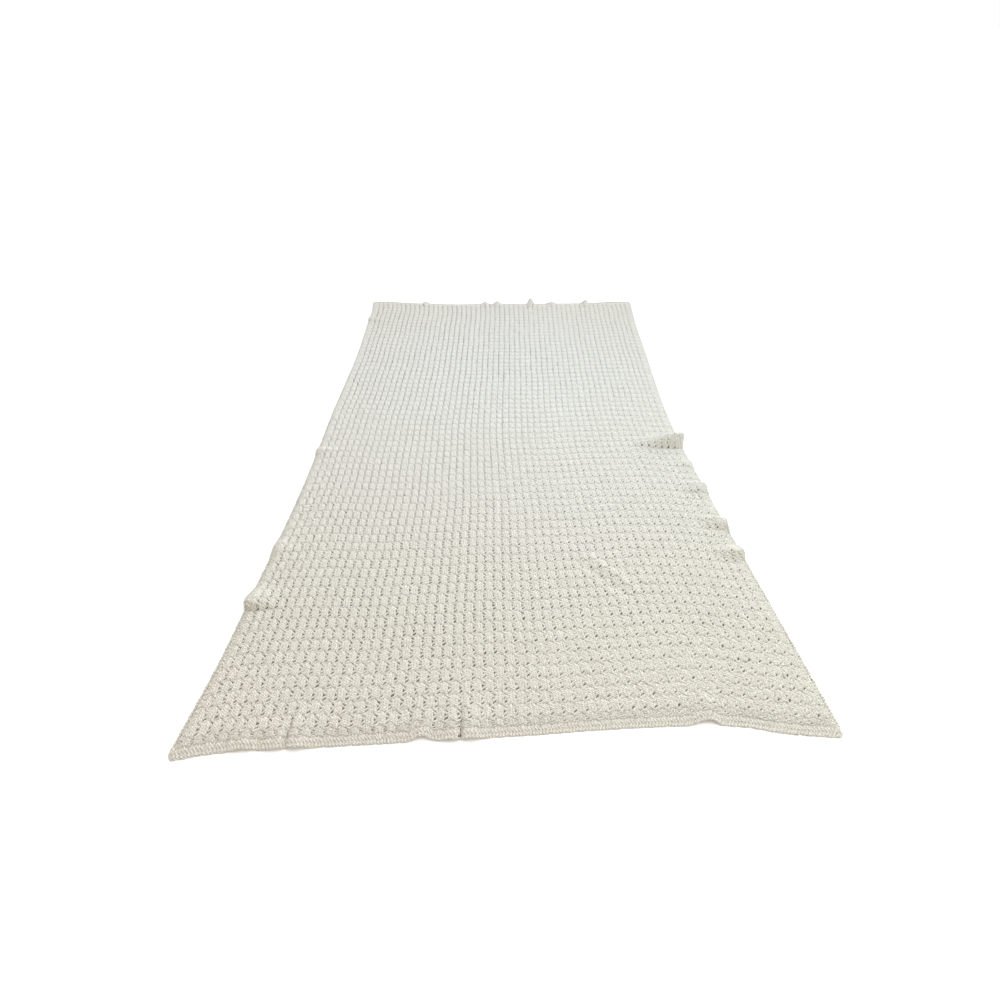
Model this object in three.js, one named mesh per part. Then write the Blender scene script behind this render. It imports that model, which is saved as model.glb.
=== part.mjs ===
import * as THREE from "three";
import { mergeVertices } from "three/addons/utils/BufferGeometryUtils.js";

// A crochet throw spread out on the floor, in the shape in which it lies. It is one continuous cloth:
// a field of stacked shell stitches, with an edging of plain stitches worked round it.
// X runs across the throw, Y along it from the near end to the far end, and Z up from the floor.
// The origin is on the floor under the middle of the throw. Sizes are in millimetres.

// Make-up of the cloth
const FIELD_THICKNESS = 6;
const EDGING_THICKNESS = 4.5;
const EDGING_WIDTH = 19;
const EDGING_STEP = 6;
const CORNER_RADIUS = 16;
const YARN_COLOUR = 0xdedacd;
const YARN_ROUGHNESS = 0.95;

// Lines of the sheet's grid: how close together and how far apart they may be, where they lie in from
// each edge to round the corners, bound the edging and follow the folds inwards, and the least rise of a
// fold that has lines on its slopes too
const CLOSEST_LINES = 6;
const WIDEST_LINES = 150;
const RIM_LINES = [CORNER_RADIUS * 0.4, EDGING_WIDTH, EDGING_WIDTH + EDGING_STEP, 48, 98];
const TALL_FOLD = 12;

// The two long edges: place along the throw, from 0 at the near end to 1 at the far end, and where each
// edge lies there. The throw is pulled in at the waist and spreads at both ends.
const SIDE_STATIONS = [
  { along: 0.0, left: -635.5, right: 635 },
  { along: 0.09, left: -614, right: 618 },
  { along: 0.18, left: -603, right: 600 },
  { along: 0.27, left: -593, right: 582 },
  { along: 0.36, left: -586, right: 565 },
  { along: 0.45, left: -585, right: 549 },
  { along: 0.55, left: -587, right: 543 },
  { along: 0.65, left: -584, right: 548 },
  { along: 0.75, left: -582, right: 556 },
  { along: 0.88, left: -591, right: 565 },
  { along: 0.96, left: -597, right: 575 },
  { along: 1.0, left: -611, right: 583 },
];

// The two short edges: place across the throw, from 0 at the left to 1 at the right, and where each
// edge lies there.
const END_STATIONS = [
  { across: 0.0, near: -930, far: 930 },
  { across: 0.06, near: -918, far: 929 },
  { across: 0.13, near: -912, far: 918 },
  { across: 0.22, near: -907, far: 909 },
  { across: 0.33, near: -900, far: 903 },
  { across: 0.43, near: -894, far: 907 },
  { across: 0.53, near: -887, far: 909 },
  { across: 0.65, near: -877, far: 909 },
  { across: 0.77, near: -871, far: 912 },
  { across: 0.85, near: -872, far: 916 },
  { across: 0.92, near: -884, far: 927 },
  { across: 1.0, near: -892, far: 926 },
];

// Folds that stand up at the edge and run into the cloth: the place on the edge, the turn of the fold's
// crest in degrees from +X, its reach into the cloth, its rise at the edge, the run of the slope to the
// left and to the right of the crest, and how far the edge is drawn in.
const FOLDS = [
  { name: "near ripple", x: -500, y: -914, turn: 90, reach: 70, rise: 5, left: 32, right: 32, draw: 2 },
  { name: "near left tuck", x: -412, y: -910, turn: 92, reach: 100, rise: 11, left: 12, right: 60, draw: 0 },
  { name: "near notch", x: -166, y: -898, turn: 90, reach: 75, rise: 8, left: 34, right: 26, draw: 8 },
  { name: "near middle tuck", x: -86, y: -893, turn: 88, reach: 95, rise: 11, left: 12, right: 60, draw: 0 },
  { name: "near arch", x: 384, y: -871, turn: 90, reach: 110, rise: 13, left: 46, right: 30, draw: 9 },
  { name: "right wing", x: 549, y: -52, turn: 185, reach: 140, rise: 38, left: 30, right: 44, draw: 0 },
  { name: "right low ripple", x: 556, y: -150, turn: 180, reach: 80, rise: 7, left: 26, right: 26, draw: 0 },
  { name: "right ripple 1", x: 567, y: -242, turn: 176, reach: 120, rise: 14, left: 46, right: 20, draw: 0 },
  { name: "right ripple 2", x: 578, y: -374, turn: 168, reach: 115, rise: 17, left: 38, right: 20, draw: 0 },
  { name: "right ripple 3", x: 590, y: -470, turn: 180, reach: 85, rise: 15, left: 26, right: 26, draw: 0 },
  { name: "left bump", x: -605, y: -612, turn: 0, reach: 95, rise: 17, left: 55, right: 18, draw: 0 },
  { name: "left low bump", x: -594, y: -455, turn: 0, reach: 70, rise: 7, left: 40, right: 40, draw: 0 },
  { name: "left middle bump", x: -586, y: -92, turn: 0, reach: 80, rise: 9, left: 22, right: 36, draw: 0 },
  { name: "left far pleat", x: -594, y: 758, turn: -12, reach: 95, rise: 10, left: 24, right: 24, draw: 0 },
  { name: "far left bump", x: -358, y: 909, turn: -90, reach: 55, rise: 10, left: 20, right: 20, draw: 0 },
  { name: "far twin, left", x: -90, y: 906, turn: -90, reach: 50, rise: 11, left: 22, right: 18, draw: 0 },
  { name: "far twin, right", x: -32, y: 908, turn: -90, reach: 50, rise: 13, left: 20, right: 22, draw: 0 },
  { name: "far nub", x: 119, y: 909, turn: -90, reach: 55, rise: 26, left: 17, right: 17, draw: 0 },
  { name: "far low bump", x: 216, y: 909, turn: -90, reach: 50, rise: 9, left: 24, right: 28, draw: 0 },
  { name: "far right bump", x: 372, y: 914, turn: -90, reach: 55, rise: 15, left: 16, right: 24, draw: 0 },
];

// A smooth line through the rows of a table: the column read at a place given in the table's first column.
function through(table, place, column, at) {
  const last = table.length - 1;
  let row = 0;
  while (row < last - 1 && at > table[row + 1][place]) {
    row += 1;
  }
  const before = table[Math.max(row - 1, 0)];
  const from = table[row];
  const to = table[row + 1];
  const after = table[Math.min(row + 2, last)];
  const span = to[place] - from[place];
  const leave = ((to[column] - before[column]) / (to[place] - before[place])) * span;
  const arrive = ((after[column] - from[column]) / (after[place] - from[place])) * span;
  const t = (at - from[place]) / span;
  const t2 = t * t;
  const t3 = t2 * t;
  return (
    (2 * t3 - 3 * t2 + 1) * from[column] +
    (t3 - 2 * t2 + t) * leave +
    (3 * t2 - 2 * t3) * to[column] +
    (t3 - t2) * arrive
  );
}

// How far a rounded corner draws a long edge in, at a distance from the throw's end.
function cornerInset(fromEnd) {
  const short = Math.max(CORNER_RADIUS - fromEnd, 0);
  return CORNER_RADIUS - Math.sqrt(CORNER_RADIUS * CORNER_RADIUS - short * short);
}

// The ends of the line that runs along the throw at a place across it, and the other way round.
function endsAt(across) {
  return {
    near: through(END_STATIONS, "across", "near", across),
    far: through(END_STATIONS, "across", "far", across),
  };
}

function sidesAt(along) {
  const left = through(SIDE_STATIONS, "along", "left", along);
  const right = through(SIDE_STATIONS, "along", "right", along);
  const middle = endsAt(0.5);
  const length = middle.far - middle.near;
  const inset = cornerInset(Math.min(along, 1 - along) * length);
  return { left: left + inset, right: right - inset };
}

// A soft hump: 1 at its crest, falling to 0 at a distance of 1.
function hump(distance) {
  const away = Math.min(Math.abs(distance), 1);
  return 0.5 + 0.5 * Math.cos(Math.PI * away);
}

// A point of the sheet's underside, lifted and drawn in by the folds that reach it.
function drape(x, y) {
  const point = new THREE.Vector3(x, y, 0);
  for (const fold of FOLDS) {
    const angle = THREE.MathUtils.degToRad(fold.turn);
    const ahead = (x - fold.x) * Math.cos(angle) + (y - fold.y) * Math.sin(angle);
    const aside = (y - fold.y) * Math.cos(angle) - (x - fold.x) * Math.sin(angle);
    const run = aside > 0 ? fold.left : fold.right;
    const share = hump(Math.max(ahead, 0) / fold.reach) * hump(aside / run);
    point.x += fold.draw * share * Math.cos(angle);
    point.y += fold.draw * share * Math.sin(angle);
    point.z += fold.rise * share;
  }
  return point;
}

// The cloth is thinner in the edging than in the field of shells.
function thicknessAt(fromEdge) {
  const share = THREE.MathUtils.smoothstep(fromEdge, EDGING_WIDTH, EDGING_WIDTH + EDGING_STEP);
  return THREE.MathUtils.lerp(EDGING_THICKNESS, FIELD_THICKNESS, share);
}

// A point of the sheet, on its upper face or its underside.
function pointOnCloth(across, along, upper) {
  const sides = sidesAt(along);
  const ends = endsAt(across);
  const width = sides.right - sides.left;
  const length = ends.far - ends.near;
  const point = drape(sides.left + width * across, ends.near + length * along);
  if (upper) {
    const fromSide = Math.min(across, 1 - across) * width;
    const fromEnd = Math.min(along, 1 - along) * length;
    point.z += thicknessAt(Math.min(fromSide, fromEnd));
  }
  return point;
}

// Grid lines over a span: the wanted places, none too close together, and the wide gaps filled evenly.
function gridLines(wanted, span) {
  const kept = [0, 1];
  for (const place of wanted) {
    const clear = kept.every((other) => Math.abs(other - place) * span >= CLOSEST_LINES);
    if (place > 0 && place < 1 && clear) {
      kept.push(place);
    }
  }
  kept.sort((a, b) => a - b);
  const lines = [0];
  for (let i = 1; i < kept.length; i += 1) {
    const steps = Math.ceil(((kept[i] - kept[i - 1]) * span) / WIDEST_LINES);
    for (let step = 1; step <= steps; step += 1) {
      lines.push(THREE.MathUtils.lerp(kept[i - 1], kept[i], step / steps));
    }
  }
  return lines;
}

// Lines wanted at both edges of a span.
function rimPlaces(span) {
  const inner = RIM_LINES.map((size) => size / span);
  return [...inner, ...inner.map((place) => 1 - place)];
}

// Lines wanted by the folds that rise from one pair of edges: every crest, then every foot, and then
// the middle of a tall fold's slopes.
function foldPlaces(folds, toPlace) {
  const tall = folds.filter((fold) => fold.rise > TALL_FOLD);
  const crests = folds.map((fold) => toPlace(fold, 0));
  const feet = folds.flatMap((fold) => [toPlace(fold, fold.left), toPlace(fold, -fold.right)]);
  const slopes = tall.flatMap((fold) => [toPlace(fold, fold.left / 2), toPlace(fold, -fold.right / 2)]);
  return [...crests, ...feet, ...slopes];
}

// A fold whose crest runs along the throw wants lines across it, and the other way round.
function runsAlong(fold) {
  return Math.abs(Math.sin(THREE.MathUtils.degToRad(fold.turn))) > Math.SQRT1_2;
}

function acrossPlace(fold, aside) {
  const sides = sidesAt(fold.y > 0 ? 1 : 0);
  const x = fold.x - aside * Math.sign(fold.turn);
  return (x - sides.left) / (sides.right - sides.left);
}

function alongPlace(fold, aside) {
  const ends = endsAt(fold.x > 0 ? 1 : 0);
  const y = fold.y + aside * (fold.x > 0 ? -1 : 1);
  return (y - ends.near) / (ends.far - ends.near);
}

function throwGeometry() {
  const meanWidth = sidesAt(0.5).right - sidesAt(0.5).left;
  const meanLength = endsAt(0.5).far - endsAt(0.5).near;
  const endFolds = FOLDS.filter((fold) => runsAlong(fold));
  const sideFolds = FOLDS.filter((fold) => !runsAlong(fold));
  const acrossWanted = [...rimPlaces(meanWidth), ...foldPlaces(endFolds, acrossPlace)];
  const alongWanted = [...rimPlaces(meanLength), ...foldPlaces(sideFolds, alongPlace)];
  const acrossLines = gridLines(acrossWanted, meanWidth);
  const alongLines = gridLines(alongWanted, meanLength);
  const columns = acrossLines.length - 1;
  const rows = alongLines.length - 1;
  const slab = new THREE.BoxGeometry(1, 1, 1, columns, rows, 1);
  slab.deleteAttribute("normal");
  slab.deleteAttribute("uv");
  const position = slab.attributes.position;
  for (let i = 0; i < position.count; i += 1) {
    const column = Math.round((position.getX(i) + 0.5) * columns);
    const row = Math.round((position.getY(i) + 0.5) * rows);
    const point = pointOnCloth(acrossLines[column], alongLines[row], position.getZ(i) > 0);
    position.setXYZ(i, point.x, point.y, point.z);
  }
  const geometry = mergeVertices(slab);
  geometry.computeVertexNormals();
  return geometry;
}

const yarn = new THREE.MeshStandardMaterial({
  color: YARN_COLOUR,
  roughness: YARN_ROUGHNESS,
  metalness: 0,
});

const crochetThrow = new THREE.Mesh(throwGeometry(), yarn);
crochetThrow.name = "crochet_throw";

const part = new THREE.Group();
part.add(crochetThrow);

export default part;
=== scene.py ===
from math import atan2, radians

import bpy
import numpy as np
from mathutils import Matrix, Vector


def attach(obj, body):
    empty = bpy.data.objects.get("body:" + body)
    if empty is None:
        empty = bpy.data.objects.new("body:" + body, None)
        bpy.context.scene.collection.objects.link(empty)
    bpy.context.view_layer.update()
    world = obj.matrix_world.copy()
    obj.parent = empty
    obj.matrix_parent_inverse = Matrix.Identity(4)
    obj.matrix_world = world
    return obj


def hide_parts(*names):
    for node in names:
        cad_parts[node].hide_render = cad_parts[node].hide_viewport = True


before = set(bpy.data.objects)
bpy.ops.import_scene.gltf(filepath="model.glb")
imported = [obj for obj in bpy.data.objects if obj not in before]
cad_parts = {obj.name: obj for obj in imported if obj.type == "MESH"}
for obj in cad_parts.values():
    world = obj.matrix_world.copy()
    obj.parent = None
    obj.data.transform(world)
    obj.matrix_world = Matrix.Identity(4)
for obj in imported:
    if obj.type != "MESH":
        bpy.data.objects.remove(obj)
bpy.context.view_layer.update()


# Ground of the cloth
# The throw is crocheted in one piece from thick, loosely spun cream yarn and lies spread out on the floor.
# Its ground is the layer that the shells are worked into, with a low ridge between their columns. Its top is
# coloured dark as painted shade, for the depth between the stitches. It shows only through the small gaps,
# and it carries the throw's edges, folds and creases.

# The throw's mean width and length as it lies, its size when it is smoothed flat, the width of its edging at
# the two ends and the two long sides, and the rounding of its corners
WIDTH = 1.165
LENGTH = 1.800
EDGING_WIDTH = 0.019
SIDE_EDGING_WIDTH = 0.012
CORNER_RADIUS = 0.016

# The field inside the edging: its columns and rows of shells, the half row at the near end, and how much
# closer the columns lie at the two sides and the rows at the near end
COLUMNS = 55
COLUMN_CLOSING = 0.0075
COLUMN_CLOSING_RUN = 0.08
ROWS = 69
FIRST_ROW = 0.55
FIELD_ROWS = ROWS - 1 + FIRST_ROW
ROW_CLOSING = 0.006
ROW_CLOSING_RUN = 0.10

# Slow waves in the columns and the rows, as hand work has: their size in shares of the throw, their number
# across and along it, in radians, and their start. They die out at the rim, over these shares of the width
# and the length.
COLUMN_WAVES = [
    dict(size=0.0011, across=0, along=21, start=1.3),
    dict(size=0.0007, across=8, along=53, start=0.0),
]
ROW_WAVES = [
    dict(size=0.0010, across=17, along=0, start=0.6),
    dict(size=0.0006, across=41, along=9, start=0.0),
]
WAVES_RIM_ACROSS = 0.06
WAVES_RIM_ALONG = 0.04

# The two long edges, from the near end at 0 to the far end at 1
SIDES = [
    dict(along=0.00, left=-0.6355, right=0.635),
    dict(along=0.09, left=-0.614, right=0.618),
    dict(along=0.18, left=-0.603, right=0.600),
    dict(along=0.27, left=-0.593, right=0.582),
    dict(along=0.36, left=-0.586, right=0.565),
    dict(along=0.45, left=-0.585, right=0.549),
    dict(along=0.55, left=-0.587, right=0.543),
    dict(along=0.65, left=-0.584, right=0.548),
    dict(along=0.75, left=-0.582, right=0.556),
    dict(along=0.88, left=-0.591, right=0.565),
    dict(along=0.96, left=-0.597, right=0.575),
    dict(along=1.00, left=-0.611, right=0.583),
]

# The two short edges, from the left at 0 to the right at 1
ENDS = [
    dict(across=0.00, near=-0.930, far=0.930),
    dict(across=0.06, near=-0.918, far=0.929),
    dict(across=0.13, near=-0.912, far=0.918),
    dict(across=0.22, near=-0.907, far=0.909),
    dict(across=0.33, near=-0.900, far=0.903),
    dict(across=0.43, near=-0.894, far=0.907),
    dict(across=0.53, near=-0.887, far=0.909),
    dict(across=0.65, near=-0.877, far=0.909),
    dict(across=0.77, near=-0.871, far=0.912),
    dict(across=0.85, near=-0.872, far=0.916),
    dict(across=0.92, near=-0.884, far=0.927),
    dict(across=1.00, near=-0.892, far=0.926),
]

# Folds that stand up at an edge: the place, the turn of the crest from +X in degrees, the reach into the
# cloth, the rise, the run of the slope on either side, and how far the edge is drawn in
FOLDS = [
    dict(name="near ripple", x=-0.500, y=-0.914, turn=90,
         reach=0.070, rise=0.005, left=0.032, right=0.032, draw=0.002),
    dict(name="left of the left tuck", x=-0.434, y=-0.911, turn=90,
         reach=0.080, rise=0.005, left=0.050, right=0.013, draw=0),
    dict(name="near left tuck", x=-0.409, y=-0.910, turn=90,
         reach=0.100, rise=0.008, left=0.012, right=0.050, draw=0),
    dict(name="near notch", x=-0.166, y=-0.898, turn=90,
         reach=0.075, rise=0.006, left=0.034, right=0.026, draw=0.008),
    dict(name="left of the middle tuck", x=-0.106, y=-0.894, turn=90,
         reach=0.100, rise=0.006, left=0.040, right=0.012, draw=0),
    dict(name="near middle tuck", x=-0.083, y=-0.893, turn=90,
         reach=0.110, rise=0.008, left=0.011, right=0.050, draw=0),
    dict(name="near arch", x=0.384, y=-0.871, turn=90,
         reach=0.110, rise=0.0075, left=0.046, right=0.030, draw=0.009),
    dict(name="right wing", x=0.549, y=-0.052, turn=185,
         reach=0.185, rise=0.038, left=0.030, right=0.044, draw=0),
    dict(name="right low ripple", x=0.556, y=-0.150, turn=180,
         reach=0.080, rise=0.007, left=0.026, right=0.026, draw=0),
    dict(name="right ripple 1", x=0.567, y=-0.242, turn=176,
         reach=0.085, rise=0.014, left=0.046, right=0.020, draw=0),
    dict(name="right ripple 2", x=0.578, y=-0.374, turn=168,
         reach=0.085, rise=0.016, left=0.038, right=0.020, draw=0),
    dict(name="right ripple 3", x=0.590, y=-0.470, turn=180,
         reach=0.085, rise=0.015, left=0.026, right=0.026, draw=0),
    dict(name="left bump", x=-0.605, y=-0.612, turn=0,
         reach=0.095, rise=0.017, left=0.055, right=0.018, draw=0),
    dict(name="left low bump", x=-0.594, y=-0.455, turn=0,
         reach=0.070, rise=0.007, left=0.040, right=0.040, draw=0),
    dict(name="left middle bump", x=-0.586, y=-0.092, turn=0,
         reach=0.080, rise=0.009, left=0.022, right=0.036, draw=0),
    dict(name="left far pleat", x=-0.594, y=0.758, turn=-12,
         reach=0.095, rise=0.010, left=0.024, right=0.024, draw=0),
    dict(name="far left bump", x=-0.358, y=0.909, turn=-90,
         reach=0.055, rise=0.010, left=0.020, right=0.020, draw=0),
    dict(name="far twin, left", x=-0.090, y=0.906, turn=-90,
         reach=0.050, rise=0.011, left=0.022, right=0.018, draw=0),
    dict(name="far twin, right", x=-0.032, y=0.908, turn=-90,
         reach=0.050, rise=0.013, left=0.020, right=0.022, draw=0),
    dict(name="far nub", x=0.119, y=0.909, turn=-90,
         reach=0.055, rise=0.026, left=0.017, right=0.017, draw=0),
    dict(name="far low bump", x=0.216, y=0.909, turn=-90,
         reach=0.050, rise=0.009, left=0.024, right=0.028, draw=0),
    dict(name="far right bump", x=0.372, y=0.914, turn=-90,
         reach=0.055, rise=0.015, left=0.016, right=0.024, draw=0),
]

# Creases inside the cloth: the two ends, the rise (a trough where it is below 0) and the run to each side.
# The field lies a little proud of the floor, so that the troughs have depth.
SWELL = 0.0025
SWELL_RUN = 0.12
CREASES = [
    dict(name="middle crease", x0=-0.018, y0=0.34, x1=-0.015, y1=-0.46, rise=-0.0022, run=0.016),
    dict(name="near diagonal", x0=0.185, y0=-0.470, x1=0.310, y1=-0.580, rise=0.0028, run=0.018),
    dict(name="below the diagonal", x0=0.175, y0=-0.500, x1=0.290, y1=-0.605, rise=-0.0025, run=0.014),
    dict(name="beside ripple 2", x0=0.520, y0=-0.320, x1=0.562, y1=-0.410, rise=-0.0022, run=0.016),
]

# Lines where the cloth is pinched: the two ends, the share of its thickness that is lost, and the run. The
# dark line along each is partly real shade in the thinned cloth and partly the ground's painted shade
# showing there.
PINCHES = [
    dict(name="left tuck", x0=-0.421, y0=-0.980, x1=-0.422, y1=-0.830, rise=0.38, run=0.007),
    dict(name="middle tuck", x0=-0.094, y0=-0.980, x1=-0.095, y1=-0.800, rise=0.27, run=0.007),
    dict(name="under the wing's crest", x0=0.580, y0=-0.058, x1=0.385, y1=-0.076, rise=0.35, run=0.008),
]

# A crease or a pinch fades towards its ends, between these shares of its length
CREASE_ENDS = (0.02, 0.98)

# The share of the throw over which the slope of the cloth is read
SLOPE_STEP = 0.002

# The bare rim that is left round a piece in the map of its plan
PLAN_MARGIN = 0.01


def column_of(table, title):
    """One column of a table, as an array."""
    return np.array([row[title] for row in table])


def columns_of(table):
    """All the columns of a table but the names of its rows, as arrays."""
    return {title: column_of(table, title) for title in table[0] if title != "name"}


def through(table, place, column, at):
    """A smooth line through one column of a table, read at places in the table's first column."""
    places = column_of(table, place)
    values = column_of(table, column)
    last = len(table) - 1
    before = np.maximum(np.arange(last + 1) - 1, 0)
    after = np.minimum(np.arange(last + 1) + 1, last)
    slopes = (values[after] - values[before]) / (places[after] - places[before])
    row = np.clip(np.searchsorted(places, at) - 1, 0, last - 1)
    span = places[row + 1] - places[row]
    t = (at - places[row]) / span
    climb = t * t * (3 - 2 * t) * (values[row + 1] - values[row])
    leave = t * (1 - t) ** 2 * span * slopes[row]
    arrive = t * t * (1 - t) * span * slopes[row + 1]
    return values[row] + climb + leave - arrive


def hump(distance):
    """A soft hump: 1 at its crest, falling to 0 at a distance of 1."""
    return 0.5 + 0.5 * np.cos(np.pi * np.minimum(np.abs(distance), 1))


def smooth(low, high, value):
    """A soft step from 0 at low to 1 at high."""
    t = np.clip((value - low) / (high - low), 0, 1)
    return t * t * (3 - 2 * t)


def crease_height(x, y, crease):
    """The rise of one crease at places on the floor."""
    start = np.array([crease["x0"], crease["y0"]])
    run = np.array([crease["x1"], crease["y1"]]) - start
    t = np.clip(((x - start[0]) * run[0] + (y - start[1]) * run[1]) / (run @ run), 0, 1)
    away = np.hypot(x - start[0] - t * run[0], y - start[1] - t * run[1])
    fade = np.sin(np.pi * np.clip(t, *CREASE_ENDS)) ** 0.5
    return crease["rise"] * hump(away / crease["run"]) * fade


def lie(across, along):
    """Points of the cloth's underside, for places across and along the throw from 0 to 1."""
    left = through(SIDES, "along", "left", along)
    right = through(SIDES, "along", "right", along)
    near = through(ENDS, "across", "near", across)
    far = through(ENDS, "across", "far", across)
    from_end = np.minimum(along, 1 - along) * LENGTH
    short = np.clip(CORNER_RADIUS - from_end, 0, CORNER_RADIUS)
    inset = CORNER_RADIUS - np.sqrt(CORNER_RADIUS**2 - short**2)
    x = left + inset + (right - left - 2 * inset) * across
    y = near + (far - near) * along
    from_edge = np.minimum(from_end, np.minimum(across, 1 - across) * WIDTH)
    z = SWELL * smooth(0, SWELL_RUN, from_edge)
    for crease in CREASES:
        z = z + crease_height(x, y, crease)
    point = np.stack([x, y, np.maximum(z, 0)], axis=-1)
    for fold in FOLDS:
        turn = radians(fold["turn"])
        way = np.array([np.cos(turn), np.sin(turn)])
        ahead = (x - fold["x"]) * way[0] + (y - fold["y"]) * way[1]
        aside = (y - fold["y"]) * way[0] - (x - fold["x"]) * way[1]
        run = np.where(aside > 0, fold["left"], fold["right"])
        share = hump(np.maximum(ahead, 0) / fold["reach"]) * hump(aside / run)
        point[..., 0] += fold["draw"] * share * way[0]
        point[..., 1] += fold["draw"] * share * way[1]
        point[..., 2] += fold["rise"] * share
    return point


def stand(across, along, height):
    """Points at a height above the cloth's underside, square to the way it lies."""
    sideways = lie(across + SLOPE_STEP, along) - lie(across - SLOPE_STEP, along)
    lengthways = lie(across, along + SLOPE_STEP) - lie(across, along - SLOPE_STEP)
    up = np.cross(sideways, lengthways)
    up /= np.linalg.norm(up, axis=-1, keepdims=True)
    point = lie(across, along)
    for pinch in PINCHES:
        height = height * (1 - crease_height(point[..., 0], point[..., 1], pinch))
    return point + up * height[..., None]


def wander(waves, across, along):
    """How far the columns or the rows wander from their straight lines."""
    total = 0
    for wave in waves:
        turn = wave["across"] * across + wave["along"] * along + wave["start"]
        total = total + wave["size"] * np.sin(turn)
    return total


def on_field(column, row):
    """Places across and along the throw, for places counted in columns and rows of shells."""
    rim_across = SIDE_EDGING_WIDTH / WIDTH
    rim_along = EDGING_WIDTH / LENGTH
    t = row / FIELD_ROWS
    t = (t - ROW_CLOSING * (1 - np.exp(-t / ROW_CLOSING_RUN))) / (1 - ROW_CLOSING)
    along = rim_along + (1 - 2 * rim_along) * t
    u = column / COLUMNS
    u = u + COLUMN_CLOSING * (np.exp(-u / COLUMN_CLOSING_RUN) - np.exp((u - 1) / COLUMN_CLOSING_RUN))
    u = (u - COLUMN_CLOSING) / (1 - 2 * COLUMN_CLOSING)
    across = rim_across + (1 - 2 * rim_across) * u
    inner = smooth(0, WAVES_RIM_ACROSS, np.minimum(across, 1 - across))
    inner = inner * smooth(0, WAVES_RIM_ALONG, np.minimum(along, 1 - along))
    sway = wander(COLUMN_WAVES, across, along)
    dip = wander(ROW_WAVES, across, along)
    return across + sway * inner, along + dip * inner


def strips_of_cloth(name, points, run, material):
    """One mesh of many strips. points is strips by stations by section, and run is the place of each point
    along the yarn and round it."""
    strips, stations, section = points.shape[:3]
    index = np.arange(strips * stations * section).reshape(strips, stations, section)
    corners = [index[:, :-1, :-1], index[:, 1:, :-1], index[:, 1:, 1:], index[:, :-1, 1:]]
    quads = np.stack(corners, axis=-1).reshape(-1)
    mesh = bpy.data.meshes.new(name)
    mesh.vertices.add(index.size)
    mesh.vertices.foreach_set("co", points.astype(np.float32).reshape(-1))
    mesh.loops.add(quads.size)
    mesh.loops.foreach_set("vertex_index", quads.astype(np.int32))
    mesh.polygons.add(quads.size // 4)
    mesh.polygons.foreach_set("loop_start", np.arange(0, quads.size, 4, dtype=np.int32))
    mesh.update(calc_edges=True)
    mesh.shade_smooth()
    plan = points[..., :2].reshape(-1, 2)
    low = plan.min(axis=0)
    plan = PLAN_MARGIN + (1 - 2 * PLAN_MARGIN) * (plan - low) / (plan.max(axis=0) - low)
    for title, places in (("yarn_run", run.reshape(-1, 2)), ("OFBake", plan)):
        layer = mesh.uv_layers.new(name=title, do_init=False)
        layer.uv.foreach_set("vector", places[quads].astype(np.float32).reshape(-1))
    mesh.materials.append(material)
    piece = bpy.data.objects.new(name, mesh)
    bpy.context.scene.collection.objects.link(piece)
    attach(piece, "root")
    return piece


def new_group(name, inputs, outputs):
    """An empty shader node group with named number inputs and named outputs."""
    group = bpy.data.node_groups.new(name, "ShaderNodeTree")
    for title, value in inputs.items():
        socket = group.interface.new_socket(title, in_out="INPUT", socket_type="NodeSocketFloat")
        socket.default_value = value
    for title, kind in outputs.items():
        group.interface.new_socket(title, in_out="OUTPUT", socket_type=kind)
    return group


def node(tree, kind, values=None, **settings):
    """A node with its settings and its unlinked input values."""
    made = tree.nodes.new(kind)
    for title, value in settings.items():
        setattr(made, title, value)
    for title, value in (values or {}).items():
        made.inputs[title].default_value = value
    return made


def math_node(tree, operation, first, second=0.0):
    """A Math node; each of its two inputs is a number or another node's output."""
    made = tree.nodes.new("ShaderNodeMath")
    made.operation = operation
    for place, value in enumerate((first, second)):
        if isinstance(value, (int, float)):
            made.inputs[place].default_value = value
        else:
            tree.links.new(value, made.inputs[place])
    return made.outputs["Value"]


# Soft spun yarn: plies that twist round each other along the strand, fine fibres over them, and the slow
# change of tone of undyed yarn
PLY_TWIST = 0.0100
PLY_SLANT = -0.35
FIBRE_SIZE = 0.0006
FIBRE_DETAIL = 3.0
TONE_SIZE = 0.0024
TONE_DETAIL = 2.0
CLOUD_ROUGHNESS = 0.6

yarn_group = new_group(
    "spun yarn",
    {"Twist Length": PLY_TWIST, "Fibre Size": FIBRE_SIZE, "Tone Size": TONE_SIZE},
    {"Ply Height": "NodeSocketFloat", "Fibre": "NodeSocketFloat", "Tone": "NodeSocketFloat"},
)
inside = node(yarn_group, "NodeGroupInput")
outside = node(yarn_group, "NodeGroupOutput")
yarn_place = node(yarn_group, "ShaderNodeUVMap", uv_map="yarn_run")
yarn_axes = node(yarn_group, "ShaderNodeSeparateXYZ")
yarn_group.links.new(yarn_place.outputs["UV"], yarn_axes.inputs["Vector"])
turns = math_node(yarn_group, "DIVIDE", yarn_axes.outputs["X"], inside.outputs["Twist Length"])
slant = math_node(yarn_group, "MULTIPLY", yarn_axes.outputs["Y"], PLY_SLANT)
slanted = math_node(yarn_group, "ADD", turns, slant)
ply = math_node(yarn_group, "SINE", math_node(yarn_group, "MULTIPLY", slanted, 2 * np.pi))
yarn_group.links.new(math_node(yarn_group, "ABSOLUTE", ply), outside.inputs["Ply Height"])
solid_place = node(yarn_group, "ShaderNodeTexCoord")
for title, detail in (("Fibre", FIBRE_DETAIL), ("Tone", TONE_DETAIL)):
    cloud = node(yarn_group, "ShaderNodeTexNoise", {"Detail": detail, "Roughness": CLOUD_ROUGHNESS})
    cloud_scale = math_node(yarn_group, "DIVIDE", 1.0, inside.outputs[f"{title} Size"])
    yarn_group.links.new(solid_place.outputs["Object"], cloud.inputs["Vector"])
    yarn_group.links.new(cloud_scale, cloud.inputs["Scale"])
    yarn_group.links.new(cloud.outputs["Fac"], outside.inputs[title])

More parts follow.
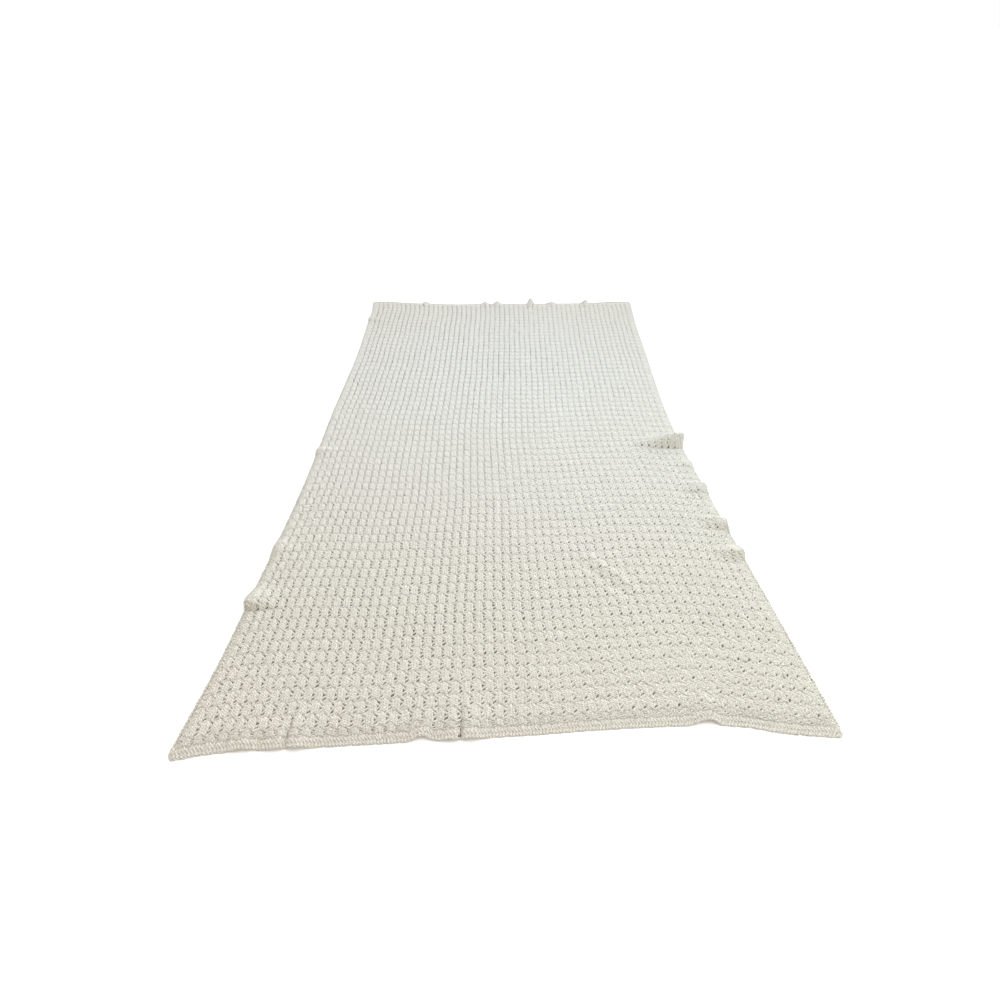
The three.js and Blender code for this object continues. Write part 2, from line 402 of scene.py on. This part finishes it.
# The finish of the yarn: a little sheen from its fuzz and hardly any gloss, the range of its roughness, the
# part of the cloud that makes its deepest and palest tone, and the relief of its fibres and plies
YARN_SHEEN = 0.15
YARN_SHEEN_ROUGHNESS = 0.6
YARN_SPECULAR = 0.25
YARN_SMOOTHEST = 0.86
YARN_ROUGHEST = 1.0
TONE_DEEPEST = 0.37
TONE_PALEST = 0.63
FIBRE_SHARE = 0.4
PLY_DEPTH = 0.0010


def yarn_finish(name, pale, deep, ply_bump):
    """A matt yarn between two tones, with its twist and fibres raised."""
    material = bpy.data.materials.new(name)
    material.use_nodes = True
    tree = material.node_tree
    shader = tree.nodes["Principled BSDF"]
    shader.inputs["Sheen Weight"].default_value = YARN_SHEEN
    shader.inputs["Sheen Roughness"].default_value = YARN_SHEEN_ROUGHNESS
    shader.inputs["Specular IOR Level"].default_value = YARN_SPECULAR
    spun = node(tree, "ShaderNodeGroup", node_tree=yarn_group)
    tone = node(tree, "ShaderNodeMapRange", {"From Min": TONE_DEEPEST, "From Max": TONE_PALEST})
    tree.links.new(spun.outputs["Tone"], tone.inputs["Value"])
    colour = node(tree, "ShaderNodeMix", data_type="RGBA")
    colour.inputs["A"].default_value = (*deep, 1)
    colour.inputs["B"].default_value = (*pale, 1)
    tree.links.new(tone.outputs["Result"], colour.inputs["Factor"])
    tree.links.new(colour.outputs["Result"], shader.inputs["Base Color"])
    rough = node(tree, "ShaderNodeMapRange", {"To Min": YARN_SMOOTHEST, "To Max": YARN_ROUGHEST})
    tree.links.new(spun.outputs["Fibre"], rough.inputs["Value"])
    tree.links.new(rough.outputs["Result"], shader.inputs["Roughness"])
    fibres = math_node(tree, "MULTIPLY", spun.outputs["Fibre"], FIBRE_SHARE)
    relief = math_node(tree, "ADD", spun.outputs["Ply Height"], fibres)
    bump = node(tree, "ShaderNodeBump", {"Strength": ply_bump, "Distance": PLY_DEPTH})
    tree.links.new(relief, bump.inputs["Height"])
    tree.links.new(bump.outputs["Normal"], shader.inputs["Normal"])
    return material


# The ground's own sizes and tones: how far it runs past the field in columns and rows, how far its ridges
# stop short of the field's ends in rows, and the yarn's width for its twist
GROUND_HEIGHT = 0.0008
RIDGE_HEIGHT = 0.0036
GROUND_ROWS = 170
GROUND_PAST_COLUMNS = 0.4
GROUND_PAST_ROWS = 0.6
RIDGE_STOP = 0.1
GROUND_YARN = 0.006
GROUND_BUMP = 0.6
# The two dark tones are painted shade on the ground's top; the underside tone is the plain yarn's own colour
PAINTED_SHADE_PALE = (0.165, 0.149, 0.124)
PAINTED_SHADE_DEEP = (0.108, 0.097, 0.082)
UNDERSIDE_YARN = (0.60, 0.57, 0.50)

# The ground's top is coloured dark between the shells as painted shade, for the depth where no light
# reaches, and its underside is plain yarn
painted_shade_yarn = yarn_finish("yarn in painted shade", PAINTED_SHADE_PALE, PAINTED_SHADE_DEEP, GROUND_BUMP)
painted_shade_tree = painted_shade_yarn.node_tree
painted_shade_colour = painted_shade_tree.nodes["Principled BSDF"].inputs["Base Color"]
facing = node(painted_shade_tree, "ShaderNodeNewGeometry")
underside = node(painted_shade_tree, "ShaderNodeMix", data_type="RGBA")
underside.inputs["B"].default_value = (*UNDERSIDE_YARN, 1)
painted_shade_tree.links.new(facing.outputs["Backfacing"], underside.inputs["Factor"])
painted_shade_tree.links.new(painted_shade_colour.links[0].from_socket, underside.inputs["A"])
painted_shade_tree.links.new(underside.outputs["Result"], painted_shade_colour)

half_columns = np.arange(2 * COLUMNS + 1) / 2
ground_columns = np.concatenate([[-GROUND_PAST_COLUMNS], half_columns, [COLUMNS + GROUND_PAST_COLUMNS]])
ground_rows = np.linspace(-GROUND_PAST_ROWS, FIELD_ROWS + GROUND_PAST_ROWS, GROUND_ROWS + 1)
ground_columns, ground_rows = np.meshgrid(ground_columns, ground_rows, indexing="ij")
# The ridges lift the ground's painted shade up into the gaps between the columns of shells, where it shows
# as the dark marks
ridge = (ground_columns % 1 == 0) & (ground_columns > 0) & (ground_columns < COLUMNS)
ridge = ridge & (ground_rows > RIDGE_STOP) & (ground_rows < FIELD_ROWS - RIDGE_STOP)
ground_across, ground_along = on_field(ground_columns, ground_rows)
ground_points = stand(ground_across, ground_along, np.where(ridge, RIDGE_HEIGHT, GROUND_HEIGHT))
ground_run = np.stack([ground_across * WIDTH, ground_along * LENGTH / GROUND_YARN], axis=-1)
ground = strips_of_cloth("ground", ground_points[None], ground_run[None], painted_shade_yarn)
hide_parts("crochet_throw")


# Shells
# The field is row on row of shells. Each shell is three fat upright stitches side by side, whose heads bend
# down to the feet of the next row. Four wraps of the same yarn tie each shell to the one on its left, and
# the slots between the wraps are the small gaps that line up between the columns of shells.

SHELL_WIDTH = 0.0209
SHELL_LENGTH = 0.0257
BANDS = 3

# The shells are worked open on the left half of the throw and closer on the right half. The change runs
# between these two places across the floor. The lean is in shell widths, and the right half keeps this
# share of the arch.
CLOSED_AT = 0.18
OPEN_AT = -0.14
LEFT_LEAN = 0.10
RIGHT_LEAN = 0.12
RIGHT_ARCH = 0.70

# A stitch's crest is levelled by these shares from its foot to its head, less so towards the far end and at
# the near end. The wraps lie deeper between the shells towards the far end, and are fuller at the near end.
# The two changes run between these shares of the rows.
LEFT_LEVEL = 0.23
RIGHT_LEVEL = 0.12
FAR_FROM = 0.28
FAR_TO = 0.74
FAR_STEP = 0.12
FAR_GROOVE = 0.215
NEAR_FROM = 0.15
NEAR_TO = 0.03
NEAR_STEP = 0.04
LEFT_NEAR_WRAPS = 0.20
RIGHT_NEAR_WRAPS = 0.30

# The upright stitches: place of the foot and the head across the shell and half width in shell widths, how
# far the arch lifts it in shell lengths, the height of its crest and the depth of the groove on either side
STITCHES = [
    dict(name="left stitch", foot=-0.255, head=-0.285, half=0.136,
         arch=-0.02, crest=0.0055, left=0.0044, right=0.0017),
    dict(name="middle stitch", foot=0.000, head=-0.015, half=0.178,
         arch=0.045, crest=0.0055, left=0.0017, right=0.0017),
    dict(name="right stitch", foot=0.280, head=0.285, half=0.158,
         arch=-0.045, crest=0.0055, left=0.0017, right=0.0044),
]

# An upright stitch from its foot, tucked under the row before, to its rounded head: place in shell lengths,
# shares of its crest and its width, and how far the left and right ones bend to the middle in shell widths
STITCH_STATIONS = [
    dict(place=-0.05, crest=0.44, width=0.80, left=0.01, right=0.00),
    dict(place=0.06, crest=0.88, width=1.00, left=0.02, right=0.00),
    dict(place=0.18, crest=1.03, width=1.06, left=0.035, right=0.00),
    dict(place=0.42, crest=0.90, width=0.95, left=0.01, right=0.00),
    dict(place=0.66, crest=1.00, width=1.00, left=0.00, right=0.01),
    dict(place=0.83, crest=0.95, width=1.04, left=0.00, right=0.045),
    dict(place=0.93, crest=0.79, width=0.94, left=0.00, right=0.05),
    dict(place=1.00, crest=0.46, width=0.74, left=0.00, right=0.04),
]

# The wraps, from under the shell on the left to this shell's left stitch: places across the shell in shell
# widths, heights of the crest and depth of the groove on either side; then each wrap's places along the
# shell, its half width on the left and the right half of the throw and how much nearer the head it lies on
# the right half, in shell lengths, and the share of the crest
WRAP_PLACES = (-0.70, -0.59, -0.49, -0.38, -0.24)
WRAP_CRESTS = (0.0043, 0.0053, 0.0055, 0.0055, 0.0050)
WRAP_DROP = 0.0036
WRAPS = [
    dict(name="foot wrap", places=(-0.05, -0.03, 0.00, 0.05, 0.13),
         left=0.102, right=0.108, lift=1.05, shift=0.03),
    dict(name="lower wrap", places=(0.17, 0.25, 0.325, 0.385, 0.44),
         left=0.104, right=0.124, lift=1.00, shift=0.06),
    dict(name="upper wrap", places=(0.77, 0.675, 0.60, 0.55, 0.52),
         left=0.098, right=0.124, lift=1.00, shift=0.04),
    dict(name="head wrap", places=(1.00, 0.94, 0.885, 0.83, 0.77),
         left=0.098, right=0.114, lift=1.05, shift=0.01),
]

# How unevenly the hand works. Sway and slip are across and along the shell in shell sizes, and the others
# are shares. Those named for a shell, a stitch or a wrap hold for the whole of it, and the others change
# along the strand.
STITCH_HAND = dict(shell_sway=0.012, sway=0.012, stitch_slip=0.010, width=0.06,
                   shell_lift=0.025, stitch_lift=0.035, lift=0.085)
WRAP_HAND = dict(wrap_width=0.10, width=0.05, wrap_sway=0.014, wrap_slip=0.016,
                 wrap_lift=0.05, lift=0.05)
HAND_SEED = 55

# The section of a strand, the deepest groove beside it as a share of its height, and the length over which
# the start of its twist is spread
YARN_SECTION = np.array([-1.0, -0.56, 0.56, 1.0])
DEEPEST_GROOVE = 0.85
TWIST_STARTS = 0.02
YARN_PALE = (0.720, 0.683, 0.606)
YARN_DEEP = (0.465, 0.440, 0.388)
YARN_BUMP = 0.8

cream_yarn = yarn_finish("cream yarn", YARN_PALE, YARN_DEEP, YARN_BUMP)
hand = np.random.default_rng(HAND_SEED)


def yarn_in_shells(columns, rows, middle, half, crest, drop):
    """Points and yarn places of strands in shells. middle is shells by strands by stations by (across,
    along) in shell sizes; half and crest are the half widths and heights in metres at the same stations,
    and drop is the depth of the groove on either side."""
    size = np.array([SHELL_WIDTH, SHELL_LENGTH])
    line = middle * size
    way = np.gradient(line, axis=2)
    way /= np.linalg.norm(way, axis=-1, keepdims=True)
    aside = np.stack([-way[..., 1], way[..., 0]], axis=-1)
    spread = line[..., None, :] + aside[..., None, :] * (half[..., None] * YARN_SECTION)[..., None]
    place = spread / size
    drop = np.minimum(drop, DEEPEST_GROOVE * crest[..., None]) * (1 - np.sqrt(1 - YARN_SECTION**2))
    height = np.maximum(crest[..., None] - drop, GROUND_HEIGHT / 2)
    row_start = np.where(rows == 0, 0, FIRST_ROW + rows - 1)[:, None, None, None]
    row_length = np.where(rows == 0, FIRST_ROW, 1.0)[:, None, None, None]
    column_place = columns[:, None, None, None] + 0.5 + place[..., 0]
    across, along = on_field(column_place, row_start + row_length * place[..., 1])
    points = stand(across, along, height)
    step = np.linalg.norm(np.diff(line, axis=2, prepend=line[:, :, :1]), axis=-1)
    distance = np.cumsum(step, axis=2) + hand.uniform(0, TWIST_STARTS, step.shape[:2])[..., None]
    run = np.stack(np.broadcast_arrays(distance[..., None], YARN_SECTION), axis=-1)
    return points.reshape(-1, *points.shape[2:]), run.reshape(-1, *run.shape[2:])


def openness(columns, rows):
    """How open the shells are worked: 1 on the left half of the throw, 0 on the right half."""
    floor_place = lie(*on_field(columns + 0.5, rows))
    return smooth(CLOSED_AT, OPEN_AT, floor_place[:, 0])[:, None, None]


def by_side(left, right, open_share):
    """A value that changes with the openness, from the right half of the throw to the left half."""
    return right + (left - right) * open_share


def farness(rows):
    """0 over the near rows, rising to 1 towards the far end, where the shells stand out more."""
    return smooth(FAR_FROM, FAR_TO, rows / ROWS)[:, None, None]


def nearness(rows):
    """1 at the near end, where the rows are worked tighter, falling to 0 some way into the throw."""
    return smooth(NEAR_FROM, NEAR_TO, rows / ROWS)[:, None, None]


def upright_stitches(columns, rows):
    """The three upright stitches of every shell at these columns and rows."""
    shape = (len(columns), len(STITCHES), len(STITCH_STATIONS))
    one_a_shell = (shape[0], 1, 1)
    one_a_stitch = (*shape[:2], 1)
    uneven = STITCH_HAND
    stitch = {title: values[:, None] for title, values in columns_of(STITCHES).items()}
    station = columns_of(STITCH_STATIONS)
    open_share = openness(columns, rows)
    across = stitch["foot"] + (stitch["head"] - stitch["foot"]) * station["place"]
    bend = np.where(stitch["foot"] < 0, station["left"], -station["right"])
    across = across + bend * (stitch["foot"] != 0)
    across = across - by_side(LEFT_LEAN, RIGHT_LEAN, open_share) * (station["place"] - 0.5)
    across = across + hand.normal(0, uneven["shell_sway"], one_a_shell)
    across = across + hand.normal(0, uneven["sway"], shape)
    arch = stitch["arch"] * by_side(1, RIGHT_ARCH, open_share)
    along = station["place"] + arch + hand.normal(0, uneven["stitch_slip"], one_a_stitch)
    half = stitch["half"] * station["width"] * SHELL_WIDTH * (1 + hand.normal(0, uneven["width"], shape))
    lift = hand.normal(0, uneven["shell_lift"], one_a_shell)
    lift = lift + hand.normal(0, uneven["stitch_lift"], one_a_stitch)
    lift = lift + hand.normal(0, uneven["lift"], shape)
    merge = by_side(LEFT_LEVEL, RIGHT_LEVEL, open_share)
    merge = merge - FAR_STEP * farness(rows) - NEAR_STEP * nearness(rows)
    level = station["crest"] + (1 - station["crest"]) * merge
    crest = stitch["crest"] * level * (1 + lift)
    drop = np.where(YARN_SECTION > 0, stitch["left"], stitch["right"])[:, None]
    return yarn_in_shells(columns, rows, np.stack([across, along], axis=-1), half, crest, drop)


def wraps_of_yarn(columns, rows):
    """The four wraps on the left side of every shell at these columns and rows."""
    shape = (len(columns), len(WRAPS), len(WRAP_PLACES))
    one_a_wrap = (*shape[:2], 1)
    uneven = WRAP_HAND
    wrap = columns_of(WRAPS)
    open_share = openness(columns, rows)
    half = by_side(wrap["left"][:, None], wrap["right"][:, None], open_share)
    half = half * (1 + by_side(LEFT_NEAR_WRAPS, RIGHT_NEAR_WRAPS, open_share) * nearness(rows))
    half = half * np.exp(hand.normal(0, uneven["wrap_width"], one_a_wrap)) * SHELL_LENGTH
    half = np.broadcast_to(half, shape) * (1 + hand.normal(0, uneven["width"], shape))
    across = np.array(WRAP_PLACES) + hand.normal(0, uneven["wrap_sway"], one_a_wrap)
    along = wrap["places"] + hand.normal(0, uneven["wrap_slip"], one_a_wrap)
    along = along + wrap["shift"][:, None] * (1 - open_share)
    across = across - by_side(LEFT_LEAN, RIGHT_LEAN, open_share) * (along - 0.5)
    crest = np.array(WRAP_CRESTS) * wrap["lift"][:, None] * (1 - FAR_GROOVE * farness(rows))
    lift = hand.normal(0, uneven["wrap_lift"], one_a_wrap)
    crest = crest * (1 + lift + hand.normal(0, uneven["lift"], shape))
    return yarn_in_shells(columns, rows, np.stack([across, along], axis=-1), half, crest, WRAP_DROP)


for band in range(BANDS):
    band_rows = np.arange(ROWS)[ROWS * band // BANDS : ROWS * (band + 1) // BANDS]
    column_numbers, row_numbers = np.meshgrid(np.arange(COLUMNS), band_rows, indexing="ij")
    for title, make in (("stitches", upright_stitches), ("wraps", wraps_of_yarn)):
        yarn_points, yarn_run = make(column_numbers.ravel(), row_numbers.ravel())
        strips_of_cloth(f"{title}_{band + 1}", yarn_points, yarn_run, cream_yarn)


# Edging
# Two rounds of plain upright stitches are worked round the finished field, close together, and bind its
# edge. The outer round is the crisper one and bends down over the rim to the floor.

# The pitch of the stitches, and the depth of the outer and the inner round at the two ends and the two long
# sides. The inner round starts at this share of the outer one's depth, and its stitches tuck into the field.
EDGES = ("near", "far", "left", "right")
EDGE_PITCH = 0.0059
END_ROUNDS = (0.0100, 0.0090)
SIDE_ROUNDS = (0.0064, 0.0056)
ROUND_START = 0.94
ROUND_TUCK = 0.0040

# A stitch's width as a share of the pitch, its section, the groove beside it in either round, its slant, the
# scallop of the outer rim at each shell, the length over which it bends down at a corner, and its least size
EDGE_FULLNESS = 1.08
EDGE_SECTION = np.array([-1.0, -0.55, 0.55, 1.0])
ROUND_GROOVES = (0.0026, 0.0020)
EDGE_SLANT = 0.0012
EDGE_SCALLOP = 0.0009
CORNER_BEND = 0.0050
LEAST_DEPTH = 0.0002
LEAST_HEIGHT = 0.0003

# A stitch from its outer end inwards: the height of its crest in either round, and the share of the groove
EDGE_STATIONS = [
    dict(place=0.00, outer=0.0006, inner=0.0026, groove=0.20),
    dict(place=0.14, outer=0.0027, inner=0.0034, groove=0.35),
    dict(place=0.34, outer=0.0033, inner=0.0040, groove=0.70),
    dict(place=0.56, outer=0.0030, inner=0.0038, groove=1.00),
    dict(place=0.82, outer=0.0033, inner=0.0036, groove=0.80),
    dict(place=1.00, outer=0.0036, inner=0.0022, groove=0.30),
]

# How unevenly the hand works here: the crest as a share, and the others in metres
EDGE_HAND = dict(crest=0.05, lift=0.00015, depth=0.0003, sway=0.0002)


def round_of_stitches(edge, number):
    """Points and yarn places of the stitches along one edge, in the outer round (0) or the inner (1)."""
    long_edge = edge in ("left", "right")
    length = LENGTH if long_edge else WIDTH
    breadth = WIDTH if long_edge else LENGTH
    clear = EDGING_WIDTH if long_edge else 0.0
    rounds = SIDE_ROUNDS if long_edge else END_ROUNDS
    count = int((length - 2 * clear) / EDGE_PITCH)
    pitch = (length - 2 * clear) / count
    station = columns_of(EDGE_STATIONS)
    crest = station["outer" if number == 0 else "inner"]
    crest = crest * (1 + hand.normal(0, EDGE_HAND["crest"], (count, 1)))
    crest = crest + hand.normal(0, EDGE_HAND["lift"], (count, len(EDGE_STATIONS)))
    reach = rounds[number] + number * ROUND_TUCK
    depth = number * rounds[0] * ROUND_START + station["place"] * reach
    depth = depth + hand.normal(0, EDGE_HAND["depth"], (count, 1))
    middle = clear + (np.arange(count)[:, None, None] + 0.5 - 0.5 * number) * pitch
    repeat = SHELL_LENGTH if long_edge else SHELL_WIDTH
    scallop = EDGE_SCALLOP * np.sin(np.pi * middle[..., 0] / repeat) ** 2 * (1 - station["place"])
    depth = np.maximum(depth + scallop * (1 - number), LEAST_DEPTH)
    turned = 1 if edge in ("left", "far") else -1
    spread = turned * pitch / 2 * EDGE_FULLNESS * EDGE_SECTION
    slant = EDGE_SLANT * (station["place"] - 0.5)[:, None]
    sway = hand.normal(0, EDGE_HAND["sway"], (count, 1, 1))
    lengthwise = (middle + slant + spread + sway) / length
    groove = ROUND_GROOVES[number] * station["groove"][:, None] * (1 - np.sqrt(1 - EDGE_SECTION**2))
    height = crest[..., None] - groove
    if not long_edge:
        height = height * smooth(0, CORNER_BEND, np.minimum(lengthwise, 1 - lengthwise) * length)
    height = np.maximum(height, LEAST_HEIGHT)
    depth = np.broadcast_to(depth[..., None], height.shape)
    inwards = depth / breadth
    if edge in ("far", "right"):
        inwards = 1 - inwards
    across, along = (inwards, lengthwise) if long_edge else (lengthwise, inwards)
    points = stand(np.clip(across, 0, 1), np.clip(along, 0, 1), height)
    run = np.stack(np.broadcast_arrays(depth, EDGE_SECTION), axis=-1)
    return points, run


edging_rounds = [round_of_stitches(edge, number) for edge in EDGES for number in range(len(END_ROUNDS))]
edging = strips_of_cloth(
    "edging",
    np.concatenate([points for points, run in edging_rounds]),
    np.concatenate([run for points, run in edging_rounds]),
    cream_yarn,
)


# Studio
# The throw lies on a plain white floor in soft daylight that comes mostly from beyond its far end, with a
# warmer, weaker light from the near side. The camera stands over the near end and looks down along it.

FLOOR_SIZE = 60.0
FLOOR_DROP = 0.0004
FLOOR_COLOUR = (0.95, 0.95, 0.95)
FLOOR_ROUGHNESS = 0.9
FLOOR_SPECULAR = 0.1
BACKDROP_COLOUR = (1.0, 1.0, 1.0)
FAR_LIGHT = (2.015, 1.985, 1.91)
NEAR_LIGHT = (0.514, 0.439, 0.359)
FAR_WAY = Vector((0.35, 0.94, 0.0))
SOFTBOXES = [
    dict(name="cool light over the far end", place=(0.0, 0.36, 1.15), aim=(0.0, 0.36, 0.0),
         size=(1.6, 0.9), power=9.9, colour=(0.38, 0.62, 0.98)),
    dict(name="soft light from the right", place=(1.25, -0.35, 0.95), aim=(0.15, -0.35, 0.0),
         size=(0.5, 2.0), power=8.6, colour=(0.74, 0.95, 0.97)),
]

# The camera: its place, its focal length and the width of the picture in pixels, and its sensor's width in
# millimetres. The horizon lies along the top edge of the picture.
CAMERA_PLACE = (-0.020, -1.1025, 0.922)
CAMERA_PIXELS = 440
IMAGE_PIXELS = 1000
SENSOR_WIDTH = 36.0

floor_mesh = bpy.data.meshes.new("floor")
half_floor = FLOOR_SIZE / 2
floor_signs = [(-1, -1), (1, -1), (1, 1), (-1, 1)]
floor_corners = [(half_floor * x, half_floor * y, -FLOOR_DROP) for x, y in floor_signs]
floor_mesh.from_pydata(floor_corners, [], [(0, 1, 2, 3)])
floor_paint = bpy.data.materials.new("white floor")
floor_paint.use_nodes = True
floor_shader = floor_paint.node_tree.nodes["Principled BSDF"]
floor_shader.inputs["Base Color"].default_value = (*FLOOR_COLOUR, 1)
floor_shader.inputs["Roughness"].default_value = FLOOR_ROUGHNESS
floor_shader.inputs["Specular IOR Level"].default_value = FLOOR_SPECULAR
floor_mesh.materials.append(floor_paint)
floor = bpy.data.objects.new("floor", floor_mesh)
bpy.context.scene.collection.objects.link(floor)

# The daylight changes from the near side to the far side, and the camera sees a plain white backdrop
daylight = bpy.data.worlds.new("daylight")
daylight.use_nodes = True
sky = daylight.node_tree
sky_place = node(sky, "ShaderNodeTexCoord")
sky_way = node(sky, "ShaderNodeVectorMath", operation="DOT_PRODUCT")
sky_way.inputs[1].default_value = FAR_WAY
sky_share = node(sky, "ShaderNodeMapRange", {"From Min": -1.0, "From Max": 1.0})
sky_colour = node(sky, "ShaderNodeMix", data_type="RGBA")
sky_colour.inputs["A"].default_value = (*NEAR_LIGHT, 1)
sky_colour.inputs["B"].default_value = (*FAR_LIGHT, 1)
sky.links.new(sky_place.outputs["Generated"], sky_way.inputs[0])
sky.links.new(sky_way.outputs["Value"], sky_share.inputs["Value"])
sky.links.new(sky_share.outputs["Result"], sky_colour.inputs["Factor"])
sky_rays = node(sky, "ShaderNodeLightPath")
sky_seen = node(sky, "ShaderNodeMix", data_type="RGBA")
sky_seen.inputs["B"].default_value = (*BACKDROP_COLOUR, 1)
sky.links.new(sky_rays.outputs["Is Camera Ray"], sky_seen.inputs["Factor"])
sky.links.new(sky_colour.outputs["Result"], sky_seen.inputs["A"])
sky.links.new(sky_seen.outputs["Result"], sky.nodes["Background"].inputs["Color"])
bpy.context.scene.world = daylight

for softbox in SOFTBOXES:
    lamp = bpy.data.lights.new(softbox["name"], "AREA")
    lamp.shape = "RECTANGLE"
    lamp.size, lamp.size_y = softbox["size"]
    lamp.energy = softbox["power"]
    lamp.color = softbox["colour"]
    lamp_stand = bpy.data.objects.new(softbox["name"], lamp)
    lamp_stand.location = softbox["place"]
    lamp_aim = Vector(softbox["aim"]) - Vector(softbox["place"])
    lamp_stand.rotation_euler = lamp_aim.to_track_quat("-Z", "Y").to_euler()
    lamp_stand.visible_camera = False
    bpy.context.scene.collection.objects.link(lamp_stand)

lens = bpy.data.cameras.new("camera")
lens.sensor_width = SENSOR_WIDTH
lens.lens = SENSOR_WIDTH * CAMERA_PIXELS / IMAGE_PIXELS
camera = bpy.data.objects.new("camera", lens)
camera.location = CAMERA_PLACE
camera.rotation_euler = (radians(90) - atan2(IMAGE_PIXELS / 2, CAMERA_PIXELS), 0, 0)
bpy.context.scene.collection.objects.link(camera)
bpy.context.scene.camera = camera
bpy.context.scene.view_settings.view_transform = "Standard"
